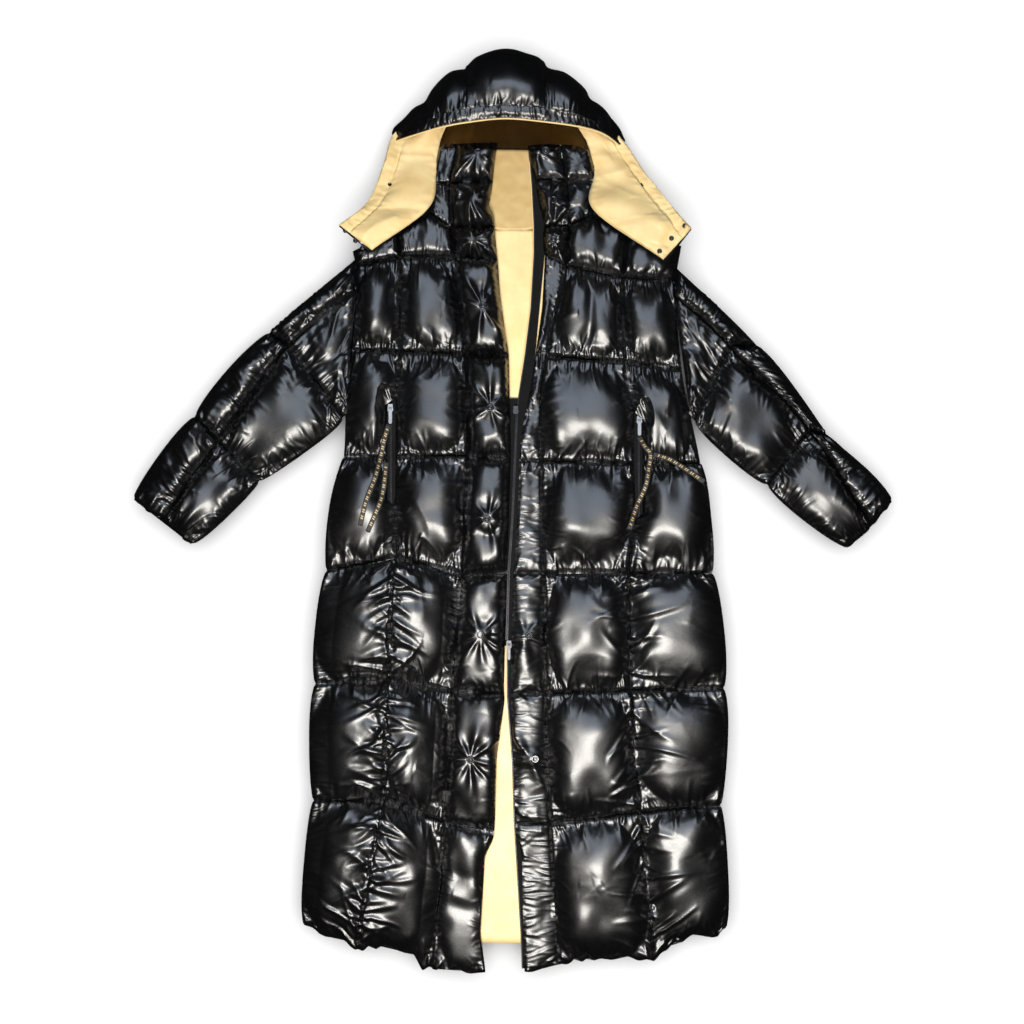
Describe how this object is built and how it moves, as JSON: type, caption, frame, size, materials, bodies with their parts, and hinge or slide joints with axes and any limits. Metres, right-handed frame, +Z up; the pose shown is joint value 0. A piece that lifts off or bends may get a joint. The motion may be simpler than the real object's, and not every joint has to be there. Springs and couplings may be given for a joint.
{
  "type": "long puffer coat",
  "caption": "Knee-length black quilted down coat laid flat on its back, hood spread open, zip undone at neck and hem, snap placket over the zip.",
  "frame": {"origin": "on the surface the coat lies on, under the middle of its length and of its width, within 10 mm", "axes": "+Z up from the surface and out of the coat's front, +Y towards the hood, -Y towards the hem, -X the wearer's right side"},
  "size_m": [1.2122, 1.4526, 0.1123],
  "materials": {
    "black_shell": "gloss coated nylon",
    "tan_lining": "satin tan lining",
    "zip_tape": "matt woven tape",
    "pull_ribbon": "satin ribbon",
    "gunmetal": "dark gunmetal",
    "polished_steel": "polished"
  },
  "bodies": {
    "coat": {"back": "black_shell", "back_lining": "tan_lining", "collar_back": "black_shell", "collar_left": "black_shell", "collar_lining": "tan_lining", "collar_right": "black_shell", "crown_left": "black_shell", "crown_lining": "tan_lining", "crown_middle": "black_shell", "crown_right": "black_shell", "front_centre_left": "black_shell", "front_centre_right": "black_shell", "front_side_left": "black_shell", "front_side_right": "black_shell", "hood_back": "black_shell", "hood_brim": "black_shell", "hood_lining_back": "tan_lining", "hood_lining_left": "tan_lining", "hood_lining_right": "tan_lining", "hood_side_left": "black_shell", "hood_side_right": "black_shell", "placket_left": "black_shell", "placket_right": "black_shell", "pocket_slider_left": "gunmetal", "pocket_slider_right": "gunmetal", "pocket_tape_left": "zip_tape", "pocket_tape_right": "zip_tape", "ribbon_left_long": "pull_ribbon", "ribbon_left_short": "pull_ribbon", "ribbon_right_long": "pull_ribbon", "ribbon_right_short": "pull_ribbon", "shoulder_left": "black_shell", "shoulder_right": "black_shell", "sleeve_back_left": "black_shell", "sleeve_back_right": "black_shell", "sleeve_lower_left": "black_shell", "sleeve_lower_right": "black_shell", "sleeve_upper_left": "black_shell", "sleeve_upper_right": "black_shell", "snap_left_1": "gunmetal", "snap_left_2": "gunmetal", "snap_left_3": "gunmetal", "snap_left_4": "gunmetal", "snap_left_5": "gunmetal", "snap_right_1": "gunmetal", "snap_right_2": "gunmetal", "snap_right_3": "gunmetal", "snap_right_4": "gunmetal", "snap_right_5": "gunmetal", "snap_right_6": "gunmetal", "snap_right_7": "gunmetal", "snap_right_8": "gunmetal", "zip_chain": "gunmetal", "zip_slider": "gunmetal", "zip_slider_top": "gunmetal", "zip_tape_left": "zip_tape", "zip_tape_right": "zip_tape"},
    "right_pocket_pull": {"pocket_pull_right": "polished_steel"},
    "left_pocket_pull": {"pocket_pull_left": "polished_steel"},
    "main_pull": {"zip_pull": "polished_steel"}
  },
  "joints": [
    {"name": "right_pocket_pull_flip", "type": "hinge", "parent": "coat", "child": "right_pocket_pull", "pos_m": [-0.1944, 0.166, 0.0483], "axis": [-1, 0, 0], "range_deg": [0, 165]},
    {"name": "left_pocket_pull_flip", "type": "hinge", "parent": "coat", "child": "left_pocket_pull", "pos_m": [0.2036, 0.147, 0.0483], "axis": [-1, 0, 0], "range_deg": [0, 165]},
    {"name": "main_pull_flip", "type": "hinge", "parent": "coat", "child": "main_pull", "pos_m": [-0.005, -0.212, 0.0508], "axis": [-1, 0, 0], "range_deg": [0, 165]}
  ]
}
